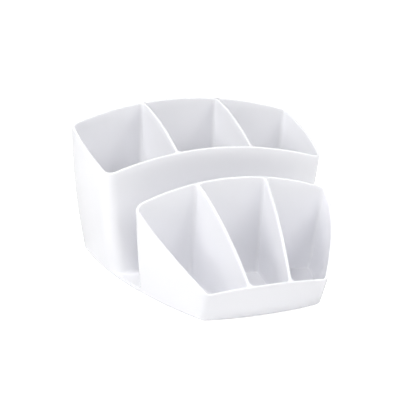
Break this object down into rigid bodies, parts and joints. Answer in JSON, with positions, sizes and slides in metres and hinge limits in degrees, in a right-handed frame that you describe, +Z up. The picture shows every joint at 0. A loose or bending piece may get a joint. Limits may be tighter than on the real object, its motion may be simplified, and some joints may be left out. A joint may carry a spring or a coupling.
{
  "type": "desk organizer",
  "caption": "Glossy white desk organizer with a tall rear bin and a low front bin, both divided into compartments, and an open slot between them for cards or a phone.",
  "frame": {"origin": "middle of the bounding box on the surface that the feet rest on", "axes": "+X to the right along the width, +Y towards the back with the tall bin, +Z up"},
  "size_m": [0.1514, 0.144, 0.093],
  "materials": {
    "shell": "gloss",
    "feet": "matte"
  },
  "bodies": {
    "root": {"base_plate": "shell", "slot_floor": "shell", "rear_bin_front_wall": "shell", "rear_bin_right_wall": "shell", "rear_bin_back_wall": "shell", "rear_bin_left_wall": "shell", "rear_bin_left_divider": "shell", "rear_bin_right_divider": "shell", "front_bin_front_wall": "shell", "front_bin_right_wall": "shell", "front_bin_back_wall": "shell", "front_bin_left_wall": "shell", "front_bin_left_divider": "shell", "front_bin_right_divider": "shell", "foot_front_left": "feet", "foot_front_right": "feet", "foot_rear_left": "feet", "foot_rear_right": "feet"}
  },
  "joints": []
}
